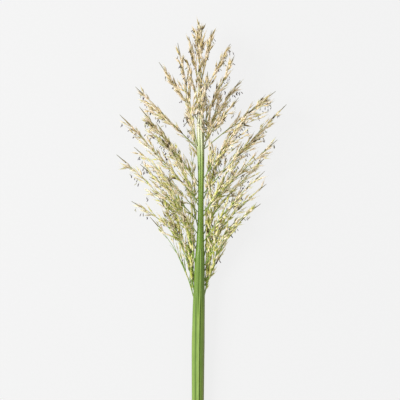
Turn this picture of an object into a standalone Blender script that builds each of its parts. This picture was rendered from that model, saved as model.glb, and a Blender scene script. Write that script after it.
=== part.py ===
"""A cut grass seed head lying on a surface.

A round culm runs the whole length, inside a leaf sheath over its lower part.
Above the sheath it carries the sprays of the panicle, each a branch with its twigs and spikelets.
Sizes are in millimetres and become metres when a mesh is made.
The stem lies along +Y with its cut end at the low end, and +X is to the right seen from above.
"""

import math

import bpy
import numpy as np

MM = 0.001
SEED = 7
GAP = 0.3  # between pieces that touch

# The stem's middle line: distance from the cut end, then how far it lies across and above the surface
STEM_LINE = (
    (0.0, -2.2, 6.25),
    (70.0, -1.8, 9.6),
    (130.0, -0.7, 13.6),
    (210.0, 0.9, 20.0),
    (245.0, 1.0, 23.0),
    (290.0, 0.2, 26.5),
    (345.0, -0.2, 29.5),
    (392.0, -0.8, 30.0),
)

# The culm: distance from the cut end and radius
CULM_LENGTH = 346.0
CULM_SIDES = 12
CULM_STATIONS = 18
CULM_GIRTH = (
    (0.0, 4.7),
    (80.0, 5.3),
    (110.0, 5.5),
    (130.0, 5.5),
    (150.0, 5.1),
    (166.0, 4.1),
    (195.0, 3.0),
    (230.0, 2.85),
    (278.0, 3.3),
    (315.0, 2.2),
    (346.0, 1.2),
    (392.0, 0.6),
)

# The leaf sheath: its wall, the ends of its slanting mouth, its keel and how often it is divided
SHEATH_WALL = 0.95
MOUTH_BACK = 103.0
MOUTH_FRONT = 164.0
MOUTH_POWER = 2.8
KEEL_ANGLE = math.radians(84)
KEEL_WIDTH = math.radians(13)
KEEL_RISE = 0.45
SHEATH_SIDES = 20
SHEATH_STATIONS = 9

# The branches: the root's distance from the cut end, then the tip's place across, along and above the surface
BRANCHES = (
    (115.0, -50.0, 194.5, 9.0),
    (121.0, -30.0, 206.0, 4.5),
    (123.5, -42.0, 216.0, 21.0),
    (132.0, -23.0, 221.0, 9.0),
    (139.0, -37.0, 200.0, 16.0),
    (150.0, -33.0, 236.0, 38.0),
    (153.0, -68.0, 210.5, 25.0),
    (163.0, -47.0, 244.0, 6.0),
    (170.0, -83.0, 257.0, 22.0),
    (179.0, -50.0, 232.5, 47.0),
    (186.0, -22.0, 262.0, 9.0),
    (191.0, -59.0, 247.0, 36.0),
    (200.0, -66.0, 265.0, 10.0),
    (207.0, -36.0, 278.0, 44.0),
    (211.0, -79.5, 296.5, 31.0),
    (226.0, -44.0, 290.0, 17.0),
    (230.0, -59.5, 303.5, 49.0),
    (250.0, -14.0, 318.0, 13.0),
    (263.0, -64.0, 324.5, 27.0),
    (266.0, -22.0, 367.0, 40.0),
    (293.0, -40.5, 348.5, 33.0),
    (306.0, -13.0, 352.0, 15.0),
    (330.0, -11.0, 374.0, 32.0),
    (115.5, 24.0, 161.0, 5.0),
    (119.5, 37.0, 194.0, 19.0),
    (126.0, 50.0, 200.0, 9.0),
    (131.0, 28.0, 214.0, 22.0),
    (141.0, 45.0, 226.0, 11.0),
    (147.0, 60.0, 208.0, 37.0),
    (156.0, 26.0, 238.0, 10.0),
    (160.0, 66.0, 227.5, 19.0),
    (171.0, 63.5, 240.0, 45.0),
    (178.0, 40.0, 254.0, 8.0),
    (186.0, 67.0, 256.0, 14.0),
    (196.0, 43.0, 268.0, 46.0),
    (201.0, 76.5, 271.5, 32.0),
    (213.0, 32.0, 284.0, 13.0),
    (219.0, 86.0, 307.0, 22.0),
    (234.0, 48.0, 300.0, 45.0),
    (263.0, 75.0, 320.0, 27.0),
    (262.0, 22.0, 322.0, 11.0),
    (270.0, 38.0, 313.0, 41.0),
    (278.0, 40.0, 331.5, 19.0),
    (287.0, 34.0, 355.0, 35.0),
    (287.0, 7.5, 338.0, 50.0),
    (314.0, 30.0, 367.0, 27.0),
    (331.0, 12.0, 380.0, 35.0),
)
# How far a branch's middle stands off its chord, as a share of the tip's way from the stem, by the root's place
BRANCH_BOW = ((115.0, 0.14), (150.0, 0.09), (175.0, 0.045), (205.0, 0.02), (345.0, 0.02))
BRANCH_LIFTS = (0.0, 1.5, -1.5, 3.0, -3.0, 4.5, -4.5, 6.0, -6.0, 8.0, -8.0)  # tried till its middle is clear
BRANCH_START = 6.0  # from here on a branch keeps clear of the stem
BRANCH_RADIUS = (0.85, 0.42)  # at the root and under the last spikelet
BRANCH_SEGMENTS = 4
BRANCH_SIDES = 4
LEADER_ROOT = 346.3  # where the topmost spray carries the stem on
LEADER_TIP = 389.0

# The twigs of a branch, which start past its bare lower part
TWIG_SPACING = 14.5
TWIG_FIRST = 0.26
TWIG_LAST = 0.92
TWIG_ANGLE = (math.radians(19), math.radians(31))
TWIG_SHARE = 0.27  # of the branch that is left beyond the twig's root
TWIG_LEAST = 6.0
TWIG_RADIUS = (0.42, 0.34)
TURN = math.radians(137.5)  # from one twig or spikelet to the next, round what carries it
TRIES = 6  # at another turn where the first would touch a neighbour

# The spikelets: slender, pointed, widest below the middle
SPIKELET_LENGTH = (5.6, 7.2)
SPIKELET_RADIUS = 0.88
SPIKELET_BELLY = 0.42
SPIKELET_SIDES = 3
SPIKELET_ROOT = 0.4  # how far its pointed foot goes in past the middle of what carries it
SPIKELET_SPACING = 9.0
SPIKELET_ANGLE = (math.radians(17), math.radians(30))
SPIKELET_BARE = 0.45  # the share of a branch below its own first spikelet

COLOURS = {
    "culm": ((0.40, 0.50, 0.20, 1.0), 0.40),
    "sheath": ((0.25, 0.38, 0.11, 1.0), 0.45),
    "spray": ((0.50, 0.42, 0.24, 1.0), 0.75),
}


def unit(vector):
    """The vector or vectors at length one."""
    return vector / np.linalg.norm(vector, axis=-1, keepdims=True)


def smooth(place, knots):
    """A smooth line through (place, value, ...) knots: cubic pieces whose slopes come from the neighbours."""
    knots = np.array(knots, float)
    places, values = knots[:, 0], knots[:, 1:]
    slopes = np.gradient(values, places, axis=0)
    place = np.clip(np.asarray(place, float), places[0], places[-1])
    left = np.clip(np.searchsorted(places, place, side="right") - 1, 0, len(places) - 2)
    span = (places[left + 1] - places[left])[..., None]
    s = (place - places[left])[..., None] / span
    return (
        (1 + 2 * s) * (1 - s) ** 2 * values[left]
        + s * (1 - s) ** 2 * span * slopes[left]
        + s * s * (3 - 2 * s) * values[left + 1]
        - s * s * (1 - s) * span * slopes[left + 1]
    )


def stem_point(place):
    """The point of the stem's middle line at this distance from the cut end."""
    side = smooth(place, STEM_LINE)
    return np.stack([side[..., 0], np.asarray(place, float) + 0 * side[..., 0], side[..., 1]], -1)


def stem_direction(place):
    """Which way the stem runs there."""
    return unit(stem_point(np.asarray(place) + 1.0) - stem_point(np.asarray(place) - 1.0))


def culm_radius(place):
    """The culm's radius at this distance from the cut end."""
    return smooth(place, CULM_GIRTH)[..., 0]


def sheath_top(angle):
    """How far up the sheath reaches at this angle round the stem: a long tongue above, cut back beneath."""
    return MOUTH_BACK + (MOUTH_FRONT - MOUTH_BACK) * ((1 + np.sin(angle)) / 2) ** MOUTH_POWER


def sheath_inside(place):
    """The radius inside the sheath."""
    return culm_radius(place) + GAP


def frame_at(direction):
    """Two unit vectors square to a direction: one level, one towards the top."""
    level = unit(np.cross(direction, (0.0, 0.0, 1.0)))
    return level, np.cross(level, direction)


def curve_of(root, tip, along, share, lift):
    """Points of a branch: a chord bowed towards the way the stem runs, its middle lifted."""
    chord = tip - root
    bow = unit(along - unit(chord) * (along @ unit(chord)))
    aside = np.linalg.norm(chord - along * (chord @ along))
    t = np.linspace(0, 1, BRANCH_SEGMENTS + 1)[:, None]
    return root + chord * t + (bow * share * aside + np.array([0.0, 0.0, lift])) * 4 * t * (1 - t)


def on_curve(points, t):
    """The point and the direction at share t of a curve's length."""
    where = t * (len(points) - 1)
    left = min(int(where), len(points) - 2)
    step = points[left + 1] - points[left]
    return points[left] + step * (where - left), unit(step)


def turned(direction, angle, turn):
    """A direction that leaves another one by angle, turned round it."""
    level, top = frame_at(direction)
    return math.cos(angle) * direction + math.sin(angle) * (math.cos(turn) * level + math.sin(turn) * top)


def above_surface(start, direction, length, radius):
    """The direction, raised where a thing of this length and radius would end below the surface."""
    lowest = (radius - start[2]) / length
    if direction[2] >= lowest:
        return direction
    flat = unit(np.array([direction[0], direction[1], 0.0]))
    lowest = min(lowest, 0.7)
    return flat * math.sqrt(1 - lowest * lowest) + np.array([0.0, 0.0, lowest])


class Room:
    """The rods that are already in place, each with its owner, and the stem."""

    def __init__(self):
        self.starts, self.ends, self.radii, self.owners = [], [], [], []

    def take(self, start, end, radius, owner):
        """Keeps a rod."""
        self.starts.append(start)
        self.ends.append(end)
        self.radii.append(radius)
        self.owners.append(owner)

    def off_stem(self, start, end, radius):
        """True if a rod is clear of the culm and its sheath."""
        points = start + (end - start) * np.linspace(0, 1, 7)[:, None]
        offset = points - stem_point(points[:, 1])
        away = np.hypot(offset[:, 0], offset[:, 2])
        sheathed = points[:, 1] < sheath_top(np.arctan2(offset[:, 2], offset[:, 0])) + radius + GAP
        wall = np.where(sheathed, GAP + SHEATH_WALL + KEEL_RISE, 0.0)
        beyond = points[:, 1] > CULM_LENGTH + radius
        return bool((beyond | (away > culm_radius(points[:, 1]) + wall + radius + GAP)).all())

    def spare(self, start, end, radius, owner):
        """How far a rod is past the gap from the nearest rod of another owner: two segments, all at once."""
        others = np.array(self.owners) != owner
        if not others.any():
            return math.inf
        p, q = np.array(self.starts)[others], np.array(self.ends)[others]
        reach = np.array(self.radii)[others] + radius + GAP
        mine, theirs, between = end - start, q - p, start - p
        a, e = mine @ mine, (theirs * theirs).sum(1)
        b, c, f = theirs @ mine, between @ mine, (theirs * between).sum(1)
        s = np.clip((b * f - c * e) / np.maximum(a * e - b * b, 1e-9), 0, 1)
        t = np.clip((b * s + f) / e, 0, 1)
        s = np.clip((b * t - c) / a, 0, 1)
        apart = between + s[:, None] * mine - t[:, None] * theirs
        return (np.linalg.norm(apart, axis=1) - reach).min()


def rods_of(line):
    """The rods along a branch, each with its radius. The last one is as thick as the spikelet at the tip."""
    radii = [BRANCH_RADIUS[0]] * (len(line) - 2) + [SPIKELET_RADIUS]
    return list(zip(line[:-1], line[1:], radii))


def branch_lines(room):
    """The middle line of every branch, and last the leader that carries the stem on to its tip."""
    lines = []
    for owner, (place, across, along, height) in enumerate(BRANCHES):
        middle, direction = stem_point(place), stem_direction(place)
        tip = np.array([across, along, height])
        outward = tip - middle
        outward = unit(outward - direction * (outward @ direction))
        root = middle + outward * (culm_radius(place) + GAP)
        share = smooth(place, BRANCH_BOW)[0]
        most, line = -math.inf, None
        for lift in BRANCH_LIFTS:
            trial = curve_of(root, tip, direction, share, lift)
            first = trial[0] + unit(trial[1] - trial[0]) * BRANCH_START
            spare = min(room.spare(*rod, owner) for rod in rods_of(trial))
            above = trial[1:-1, 2].min() > BRANCH_RADIUS[0]
            if not (above and room.off_stem(first, trial[1], BRANCH_RADIUS[0])):
                spare = -1e6
            if spare > most:
                most, line = spare, trial
            if most > 0:
                break
        for rod in rods_of(line):
            room.take(*rod, owner)
        lines.append(line)
    lines.append(stem_point(np.linspace(LEADER_ROOT, LEADER_TIP, BRANCH_SEGMENTS + 1)))
    for rod in rods_of(lines[-1]):
        room.take(*rod, len(BRANCHES))
    return lines


def plan_sprays():
    """Every spray as its branch line, its twigs and its spikelets, none of them in another spray's way."""
    draw, room, belly = np.random.default_rng(SEED), Room(), SPIKELET_RADIUS
    lines = branch_lines(room)
    sprays = [{"line": line, "twigs": [], "spikelets": []} for line in lines]

    def place(owner, start, carrier, length, angles, turn, radius):
        """The end of a twig or spikelet that is clear at one of a few turns, or None."""
        angle = draw.uniform(*angles)
        for attempt in range(TRIES):
            direction = turned(carrier, angle, turn + attempt * TURN)
            direction = above_surface(start, direction, length, radius)
            end = start + direction * length
            near = start + direction * radius
            if room.off_stem(near, end, radius) and room.spare(near, end, radius, owner) > 0:
                room.take(near, end, radius, owner)
                return end
        return None

    for owner, spray in enumerate(sprays):
        length = np.linalg.norm(np.diff(spray["line"], axis=0), axis=1).sum()
        count = max(3, round(length * (TWIG_LAST - TWIG_FIRST) / TWIG_SPACING))
        turn = draw.uniform(0, 2 * math.pi)
        for k in range(count):
            t = TWIG_FIRST + (TWIG_LAST - TWIG_FIRST) * (k + draw.uniform(0.2, 0.8)) / count
            start, carrier = on_curve(spray["line"], t)
            reach = TWIG_LEAST + TWIG_SHARE * (1 - t) * length * draw.uniform(0.8, 1.15)
            end = place(owner, start, carrier, reach, TWIG_ANGLE, turn + k * TURN, belly)
            if end is not None:
                spray["twigs"].append((start, end))

    for owner, spray in enumerate(sprays):
        length = np.linalg.norm(np.diff(spray["line"], axis=0), axis=1).sum()
        bare = length * SPIKELET_BARE
        carriers = [(spray["line"], bare, length)]
        carriers += [(np.array(twig), 2.5, np.linalg.norm(twig[1] - twig[0])) for twig in spray["twigs"]]
        for line, first, whole in carriers:
            turn = draw.uniform(0, 2 * math.pi)
            count = int((whole - SPIKELET_SPACING * 0.9 - first) / SPIKELET_SPACING + 1)
            for k in range(max(0, count)):
                start, carrier = on_curve(line, (first + k * SPIKELET_SPACING) / whole)
                size = draw.uniform(*SPIKELET_LENGTH)
                end = place(owner, start, carrier, size, SPIKELET_ANGLE, turn + k * TURN, belly)
                if end is not None:
                    spray["spikelets"].append((start, end))
    return sprays


def loft(rings, tip=None, foot=None):
    """A closed skin over rings of equal count, with a cap or a pointed foot below and a cap or tip above."""
    count = len(rings[0])
    points = [tuple(p) for ring in rings for p in ring]
    if foot is None:
        faces = [tuple(range(count - 1, -1, -1))]
    else:
        points.append(tuple(foot))
        faces = [((i + 1) % count, i, len(points) - 1) for i in range(count)]
    for k in range(len(rings) - 1):
        low, high = k * count, (k + 1) * count
        for i in range(count):
            j = (i + 1) % count
            faces.append((low + i, low + j, high + j, high + i))
    last = (len(rings) - 1) * count
    if tip is None:
        faces.append(tuple(range(last, last + count)))
    else:
        points.append(tuple(tip))
        faces += [(last + i, last + (i + 1) % count, len(points) - 1) for i in range(count)]
    return points, faces


def ring(centre, direction, radius, sides, start=0.0):
    """Points round a direction, counter-clockwise seen against it."""
    level, top = frame_at(direction)
    angle = start + np.arange(sides)[:, None] * 2 * math.pi / sides
    return centre + radius * (np.cos(angle) * level * -1 + np.sin(angle) * top)


def spikelet_skin(start, end):
    """A spikelet that reaches from start to end, pointed at both ends."""
    direction = unit(end - start)
    belly = start + (end - start) * SPIKELET_BELLY
    foot = start - direction * SPIKELET_ROOT
    return loft([ring(belly, direction, SPIKELET_RADIUS, SPIKELET_SIDES)], end, foot)


def twig_rings(start, end):
    """A twig's rings: its stalk, then the belly of the spikelet at its end."""
    direction, length = unit(end - start), np.linalg.norm(end - start)
    last = SPIKELET_LENGTH[0]
    stations = (
        (0.0, TWIG_RADIUS[0]),
        (length - last, TWIG_RADIUS[1]),
        (length - last * (1 - SPIKELET_BELLY), SPIKELET_RADIUS),
    )
    return [ring(start + direction * along, direction, radius, SPIKELET_SIDES) for along, radius in stations]


def branch_rings(line, place):
    """A branch's rings. The first lies along the culm's skin, so that the two meet face to face."""
    steps = np.diff(line, axis=0)
    directions = unit(np.vstack([steps[:1], steps[:-1] + steps[1:], steps[-1:]]))
    radii = np.linspace(*BRANCH_RADIUS, len(line))
    if place is None:
        first = ring(line[0], directions[0], radii[0], BRANCH_SIDES)
    else:
        along = stem_direction(place)
        outward = unit(line[0] - stem_point(place))
        round_stem = unit(np.cross(along, outward))
        stretch = 1 / max(0.45, outward @ directions[0])
        angle = np.arange(BRANCH_SIDES)[:, None] * 2 * math.pi / BRANCH_SIDES
        first = line[0] + radii[0] * (np.cos(angle) * round_stem + np.sin(angle) * along * stretch)
    rings = [ring(line[k], directions[k], radii[k], BRANCH_SIDES) for k in range(1, len(line) - 1)]
    shift = min(
        range(BRANCH_SIDES),
        key=lambda s: np.linalg.norm(unit(np.roll(first, s, 0) - line[0]) - unit(rings[0] - line[1])),
    )
    last = SPIKELET_LENGTH[1]
    neck = line[-1] - directions[-1] * last
    belly = line[-1] - directions[-1] * last * (1 - SPIKELET_BELLY)
    rings += [
        ring(neck, directions[-1], radii[-1], BRANCH_SIDES),
        ring(belly, directions[-1], SPIKELET_RADIUS, BRANCH_SIDES),
    ]
    return [np.roll(first, shift, 0)] + rings


def material(name):
    """The plain finish of a sub-part."""
    colour, roughness = COLOURS[name]
    made = bpy.data.materials.get(name) or bpy.data.materials.new(name)
    made.use_nodes = True
    shader = made.node_tree.nodes["Principled BSDF"]
    shader.inputs["Base Color"].default_value = colour
    shader.inputs["Roughness"].default_value = roughness
    shader.inputs["Metallic"].default_value = 0.0
    made.diffuse_color = colour
    return made


def add_object(name, points, faces, finish, collection=None):
    """An object from points in millimetres and faces."""
    mesh = bpy.data.meshes.new(name)
    mesh.from_pydata([tuple(c * MM for c in p) for p in points], [], faces)
    mesh.materials.append(material(finish))
    made = bpy.data.objects.new(name, mesh)
    (collection or bpy.context.scene.collection).objects.link(made)
    return made


def fuse(base, pieces, finish):
    """Joins loose closed skins to a base object by one Boolean union, and removes them."""
    collection = bpy.data.collections.new(base.name + "_pieces")
    bpy.context.scene.collection.children.link(collection)
    for number, (points, faces) in enumerate(pieces):
        add_object(f"{base.name}_piece_{number}", points, faces, finish, collection)
    union = base.modifiers.new("fuse", "BOOLEAN")
    union.operation = "UNION"
    union.operand_type = "COLLECTION"
    union.collection = collection
    union.solver = "MANIFOLD"
    bpy.context.view_layer.update()
    evaluated = base.evaluated_get(bpy.context.evaluated_depsgraph_get())
    joined = bpy.data.meshes.new_from_object(evaluated)
    base.modifiers.remove(union)
    base.data = joined
    for piece in list(collection.objects):
        bpy.data.objects.remove(piece)
    bpy.data.collections.remove(collection)


def make_culm():
    """The culm: round rings along the stem's middle line, from the cut end to the leader."""
    places = np.linspace(0, CULM_LENGTH, CULM_STATIONS)
    rings = [ring(stem_point(v), stem_direction(v), culm_radius(v), CULM_SIDES) for v in places]
    return add_object("culm", *loft(rings), "culm")


def make_sheath():
    """The leaf sheath: a thin tube round the culm with a keel along its top and a slanting mouth."""
    angles = np.arange(SHEATH_SIDES) * 2 * math.pi / SHEATH_SIDES + KEEL_ANGLE
    share = np.linspace(0, 1, SHEATH_STATIONS)
    bend = np.angle(np.exp(1j * (angles - KEEL_ANGLE)))
    keel = KEEL_RISE * np.exp(-((bend / KEEL_WIDTH) ** 2))

    def skin(radius_at):
        points = []
        for s in share:
            for angle, rise in zip(angles, keel):
                v = s * sheath_top(angle)
                level, top = frame_at(stem_direction(v))
                out = math.cos(angle) * level + math.sin(angle) * top
                points.append(stem_point(v) + out * radius_at(v, rise))
        return points

    outer = skin(lambda v, rise: sheath_inside(v) + SHEATH_WALL + rise)
    inner = skin(lambda v, rise: sheath_inside(v))
    count = SHEATH_SIDES
    inside = len(outer)
    faces = []
    for k in range(SHEATH_STATIONS - 1):
        for i in range(count):
            a, b = k * count + i, k * count + (i + 1) % count
            faces.append((a, a + count, b + count, b))
            faces.append((inside + a, inside + b, inside + b + count, inside + a + count))
    top = (SHEATH_STATIONS - 1) * count
    for i in range(count):
        j = (i + 1) % count
        faces.append((i, j, inside + j, inside + i))
        faces.append((top + i, inside + top + i, inside + top + j, top + j))
    return add_object("leaf_sheath", outer + inner, faces, "sheath")


def make_spray(name, spray, place):
    """A spray: its branch, with every twig and spikelet sunk into it and fused."""
    made = add_object(name, *loft(branch_rings(spray["line"], place), spray["line"][-1]), "spray")
    pieces = [loft(twig_rings(*twig), twig[1]) for twig in spray["twigs"]]
    pieces += [spikelet_skin(*spikelet) for spikelet in spray["spikelets"]]
    fuse(made, pieces, "spray")
    return made


def settle(objects):
    """Moves everything so that the origin is under the middle of the whole, on the surface."""
    points = np.array([v.co for made in objects for v in made.data.vertices])
    low, high = points.min(0), points.max(0)
    shift = np.array([-(low[0] + high[0]) / 2, -(low[1] + high[1]) / 2, -low[2]])
    for made in objects:
        for vertex in made.data.vertices:
            vertex.co = [c + s for c, s in zip(vertex.co, shift)]


def main():
    for old in list(bpy.data.objects):
        bpy.data.objects.remove(old)
    objects = [make_culm(), make_sheath()]
    sprays = plan_sprays()
    for number, spray in enumerate(sprays[:-1]):
        side = "left" if BRANCHES[number][1] < 0 else "right"
        objects.append(make_spray(f"spray_{side}_{number + 1:02d}", spray, BRANCHES[number][0]))
    objects.append(make_spray("spray_top", sprays[-1], None))
    settle(objects)
    for made in objects:
        made.data.shade_flat()


main()
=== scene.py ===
"""The looks of a cut grass seed head that lies on a pale surface and is seen from above.

The plan of the stem, the branches and the twigs comes first, in millimetres along the stem.
Then come the surfaces, as whole arrays of points, the materials, the pieces, the light and the camera.
"""

import math

import bpy
import numpy as np
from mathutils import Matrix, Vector


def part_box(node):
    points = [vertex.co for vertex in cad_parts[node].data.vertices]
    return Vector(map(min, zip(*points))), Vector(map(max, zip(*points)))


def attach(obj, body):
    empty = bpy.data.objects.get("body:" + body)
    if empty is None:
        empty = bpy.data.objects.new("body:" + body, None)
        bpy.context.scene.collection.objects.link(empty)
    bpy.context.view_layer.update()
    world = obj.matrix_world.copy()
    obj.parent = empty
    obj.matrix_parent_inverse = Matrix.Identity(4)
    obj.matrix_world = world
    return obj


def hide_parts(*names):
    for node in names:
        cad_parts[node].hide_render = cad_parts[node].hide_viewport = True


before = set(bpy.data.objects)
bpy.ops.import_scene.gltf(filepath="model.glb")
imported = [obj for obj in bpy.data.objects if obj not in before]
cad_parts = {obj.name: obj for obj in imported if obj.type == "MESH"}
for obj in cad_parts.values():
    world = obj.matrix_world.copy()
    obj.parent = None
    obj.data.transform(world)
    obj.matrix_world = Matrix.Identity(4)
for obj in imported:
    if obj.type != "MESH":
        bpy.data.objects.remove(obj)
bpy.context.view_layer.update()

MM = 0.001
SEED = 7
GAP = 0.3  # between pieces that touch

# The stem's middle line: distance from the cut end, then how far it lies across and above the surface
STEM_LINE = (
    (0.0, -2.2, 6.25),
    (70.0, -1.8, 9.6),
    (130.0, -0.7, 13.6),
    (210.0, 0.9, 20.0),
    (245.0, 1.0, 23.0),
    (290.0, 0.2, 26.5),
    (345.0, -0.2, 29.5),
    (392.0, -0.8, 30.0),
)

# The culm: distance from the cut end and radius
CULM_LENGTH = 346.0
CULM_SIDES = 12
CULM_STATIONS = 18
CULM_GIRTH = (
    (0.0, 4.7),
    (80.0, 5.3),
    (110.0, 5.5),
    (130.0, 5.5),
    (150.0, 5.1),
    (166.0, 4.1),
    (195.0, 3.0),
    (230.0, 2.85),
    (278.0, 3.3),
    (315.0, 2.2),
    (346.0, 1.2),
    (392.0, 0.6),
)

# The leaf sheath: its wall, the ends of its slanting mouth, its keel and the crease at the keel's right
SHEATH_WALL = 0.95
MOUTH_BACK = 103.0
MOUTH_FRONT = 164.0
MOUTH_POWER = 2.8
KEEL_ANGLE = math.radians(84)
KEEL_RISE = 0.45
KEEL_SPREAD = (0.26, 0.07)  # radians in which it falls off to its left and its right
KEEL_END = 118.0  # from the cut end, where it has faded out
KEEL_FADE = 25.0
CREASE_TURN = 0.17  # radians from the keel
CREASE_WIDTH = 0.08
CREASE_DEPTH = 0.28
RIM_TAPER = 45.0  # below the mouth, over which the wall thins

# The branches: the root's distance from the cut end, then the tip's place across, along and above the surface
BRANCHES = (
    (115.0, -50.0, 194.5, 9.0),
    (121.0, -30.0, 206.0, 4.5),
    (123.5, -42.0, 216.0, 21.0),
    (132.0, -23.0, 221.0, 9.0),
    (139.0, -37.0, 200.0, 16.0),
    (150.0, -33.0, 236.0, 38.0),
    (153.0, -68.0, 210.5, 25.0),
    (163.0, -47.0, 244.0, 6.0),
    (170.0, -83.0, 257.0, 22.0),
    (179.0, -50.0, 232.5, 47.0),
    (186.0, -22.0, 262.0, 9.0),
    (191.0, -59.0, 247.0, 36.0),
    (200.0, -66.0, 265.0, 10.0),
    (207.0, -36.0, 278.0, 44.0),
    (211.0, -79.5, 296.5, 31.0),
    (226.0, -44.0, 290.0, 17.0),
    (230.0, -59.5, 303.5, 49.0),
    (250.0, -14.0, 318.0, 13.0),
    (263.0, -64.0, 324.5, 27.0),
    (266.0, -22.0, 367.0, 40.0),
    (293.0, -40.5, 348.5, 33.0),
    (306.0, -13.0, 352.0, 15.0),
    (330.0, -11.0, 374.0, 32.0),
    (115.5, 24.0, 161.0, 5.0),
    (119.5, 37.0, 194.0, 19.0),
    (126.0, 50.0, 200.0, 9.0),
    (131.0, 28.0, 214.0, 22.0),
    (141.0, 45.0, 226.0, 11.0),
    (147.0, 60.0, 208.0, 37.0),
    (156.0, 26.0, 238.0, 10.0),
    (160.0, 66.0, 227.5, 19.0),
    (171.0, 63.5, 240.0, 45.0),
    (178.0, 40.0, 254.0, 8.0),
    (186.0, 67.0, 256.0, 14.0),
    (196.0, 43.0, 268.0, 46.0),
    (201.0, 76.5, 271.5, 32.0),
    (213.0, 32.0, 284.0, 13.0),
    (219.0, 86.0, 307.0, 22.0),
    (234.0, 48.0, 300.0, 45.0),
    (263.0, 75.0, 320.0, 27.0),
    (262.0, 22.0, 322.0, 11.0),
    (270.0, 38.0, 313.0, 41.0),
    (278.0, 40.0, 331.5, 19.0),
    (287.0, 34.0, 355.0, 35.0),
    (287.0, 7.5, 338.0, 50.0),
    (314.0, 30.0, 367.0, 27.0),
    (331.0, 12.0, 380.0, 35.0),
)
# How far a branch's middle stands off its chord, as a share of its tip's way from the stem, by its root
BRANCH_BOW = ((115.0, 0.14), (150.0, 0.09), (175.0, 0.045), (205.0, 0.02), (345.0, 0.02))
BRANCH_LIFTS = (0.0, 1.5, -1.5, 3.0, -3.0, 4.5, -4.5, 6.0, -6.0, 8.0, -8.0)  # tried till its middle is clear
BRANCH_START = 6.0  # from here on a branch keeps clear of the stem
BRANCH_RADIUS = (0.85, 0.42)  # at the root and under the last spikelet
BRANCH_SEGMENTS = 4
LEADER_ROOT = 346.3  # where the topmost spray carries the stem on
LEADER_TIP = 389.0

# The twigs of a branch, which start past its bare lower part
TWIG_SPACING = 14.5
TWIG_FIRST = 0.26
TWIG_LAST = 0.92
TWIG_ANGLE = (math.radians(19), math.radians(31))
TWIG_SHARE = 0.27  # of the branch that is left beyond the twig's root
TWIG_LEAST = 6.0
TURN = math.radians(137.5)  # from one twig to the next, round the branch
TRIES = 6  # at another turn where the first would touch a neighbour
SPIKELET_RADIUS = 0.88  # the room that a spikelet takes round what carries it

# How finely the surfaces are divided
STALK_RINGS = 240
STALK_SIDES = 84
SHEATH_RINGS = 170
SHEATH_ROUND = 168

# Forms finer than the solids'
SHADED_SIDE = math.radians(18)  # painted shade: the right side of the stem, away from the key light, is darkened to olive brown
SHADED_WIDTH = math.radians(26)
SHEATH_LIGHT_AND_SHADE = (  # angle and width in degrees, lighter or darker: painted highlight on the lit ridges and painted shade in the groove between them
    (139, 13, 0.35),
    (115, 8, -0.95),
    (94, 8, 0.7),
    (52, 15, 0.2),
)
RIB_COUNT = 38  # fine ribs round the upper part of the sheath
STALK_RIDGES = 7  # round the bare stalk
RIDGE_TURN = math.radians(70)
RIDGE_DEPTH = 0.13  # of the radius, under the tip
SHEATH_RIM = 0.12  # thickness of the sheath's papery rim
SHEATH_VEINS = ((9, 0.5, 0.4), (16, 0.6, 1.9), (23, 0.6, 4.4), (34, 0.5, 2.7))  # count round it, size, phase
VEIN_DEPTH = 0.07

# The dress of the sprays, by the root's distance from the cut end
EXTRA_TWIGS = (  # a millimetre of branch
    (115.0, 0.06),
    (160.0, 0.075),
    (195.0, 0.085),
    (228.0, 0.165),
    (262.0, 0.12),
    (290.0, 0.17),
    (310.0, 0.16),
    (330.0, 0.30),
    (340.0, 0.30),
    (346.0, 0.84),
)
LOWER_TWIGS = 0.85  # the share of them on the lower side
LOWER_TWIGS_LOW = 0.2  # and on low branches
INNER_TWIGS = ((115.0, 3.0), (150.0, 2.0), (180.0, 5.0), (240.0, 6.0), (270.0, 4.0))  # short, near the root
STEM_TWIGS = (  # that climb beside the stem
    (115.0, 5.7),
    (150.0, 5.7),
    (170.0, 3.0),
    (205.0, 4.0),
    (234.0, 7.0),
    (262.0, 3.4),
    (300.0, 1.0),
)
NARROWNESS = (  # of the angles at which spikelets leave
    (115.0, 0.50),
    (160.0, 0.75),
    (210.0, 0.95),
    (260.0, 0.85),
    (295.0, 0.55),
    (346.0, 0.45),
)
SPIKELET_STEP = (  # from one spikelet to the next
    (115.0, 8.2),
    (170.0, 7.9),
    (205.0, 7.3),
    (240.0, 6.9),
    (280.0, 5.9),
    (346.0, 4.1),
)

# Where the dress changes, by the same distance
TIGHT_ROOTS = 150.0  # up to here the inner twigs leave at narrow angles
CLOSE_ROOTS = 162.0  # below here the twigs beside the stem keep close to it
LOW_ROOTS = 165.0  # up to here most extra twigs are on a branch's upper side
CROWN_ROOTS = 255.0  # above here the twigs of inner branches lean in and upwards
PEAK_ROOTS = 290.0  # above here those twigs keep close to their branch
LEADER_ROOTS = 340.0  # above here is the topmost spray alone
LOOSE_ROOTS = (150.0, 275.0)  # outside these all the plan's twigs are pressed to their branch
INNER_TIPS = 50.0  # how far out an inner branch ends at most
FRONT_TIPS = 46.0  # and one with twigs over the front of the stalk
FRONT_ROOTS = (248.0, 335.0)  # between these, twigs lean over the front of the stalk
FRONT_TWIGS = 2
FRONT_FROM = 284.0  # none of them ends lower

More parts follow.
